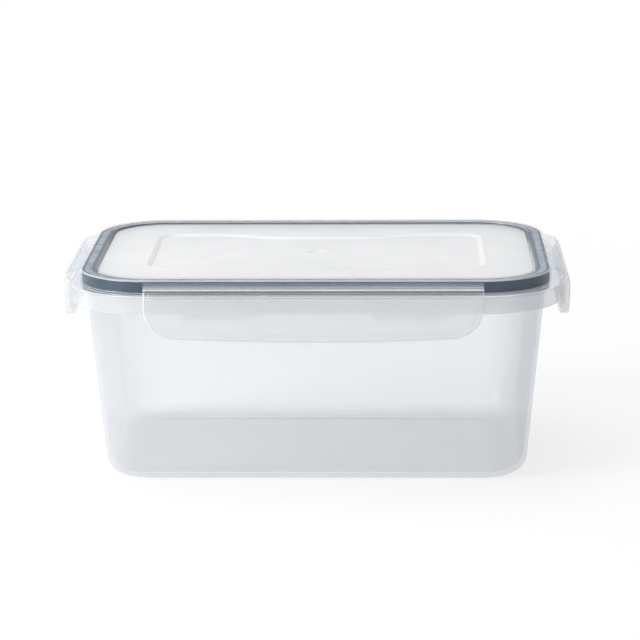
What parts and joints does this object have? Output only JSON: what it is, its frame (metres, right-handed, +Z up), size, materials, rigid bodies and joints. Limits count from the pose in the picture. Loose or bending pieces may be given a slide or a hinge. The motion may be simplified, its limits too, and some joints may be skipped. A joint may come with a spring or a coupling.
{
  "type": "food storage box",
  "caption": "Rectangular see-through food box with a milky lid, a dark seal ring and fold-down clips that hook under the rim of the tub.",
  "frame": {"origin": "middle of the footprint, on the surface that the box stands on", "axes": "+X along the length, to the right in the picture; +Y along the width, away from the front clip; +Z up"},
  "size_m": [0.21, 0.15, 0.0865],
  "materials": {
    "clear_plastic": "clear, slightly hazy",
    "milky_plastic": "translucent, milky",
    "dark_seal": "satin"
  },
  "bodies": {
    "tub": {"tub": "clear_plastic"},
    "lid": {"lid": "milky_plastic", "gasket": "dark_seal", "front_hinge_film": "milky_plastic", "back_hinge_film": "milky_plastic", "left_hinge_film": "milky_plastic", "right_hinge_film": "milky_plastic"},
    "front_flap": {"front_flap": "milky_plastic"},
    "back_flap": {"back_flap": "milky_plastic"},
    "left_flap": {"left_flap": "milky_plastic"},
    "right_flap": {"right_flap": "milky_plastic"}
  },
  "joints": [
    {"name": "lid_lift", "type": "slide", "parent": "tub", "child": "lid", "axis": [0, 0, 1], "range_m": [0, 0.09]},
    {"name": "front_flap_hinge", "type": "hinge", "parent": "lid", "child": "front_flap", "pos_m": [0, -0.07298, 0.08368], "axis": [-1, 0, 0], "range_deg": [0, 135], "deforming": ["front_hinge_film"]},
    {"name": "back_flap_hinge", "type": "hinge", "parent": "lid", "child": "back_flap", "pos_m": [0, 0.07298, 0.08368], "axis": [1, 0, 0], "range_deg": [0, 135], "deforming": ["back_hinge_film"]},
    {"name": "left_flap_hinge", "type": "hinge", "parent": "lid", "child": "left_flap", "pos_m": [-0.10298, 0, 0.08368], "axis": [0, 1, 0], "range_deg": [0, 135], "deforming": ["left_hinge_film"]},
    {"name": "right_flap_hinge", "type": "hinge", "parent": "lid", "child": "right_flap", "pos_m": [0.10298, 0, 0.08368], "axis": [0, -1, 0], "range_deg": [0, 135], "deforming": ["right_hinge_film"]}
  ]
}
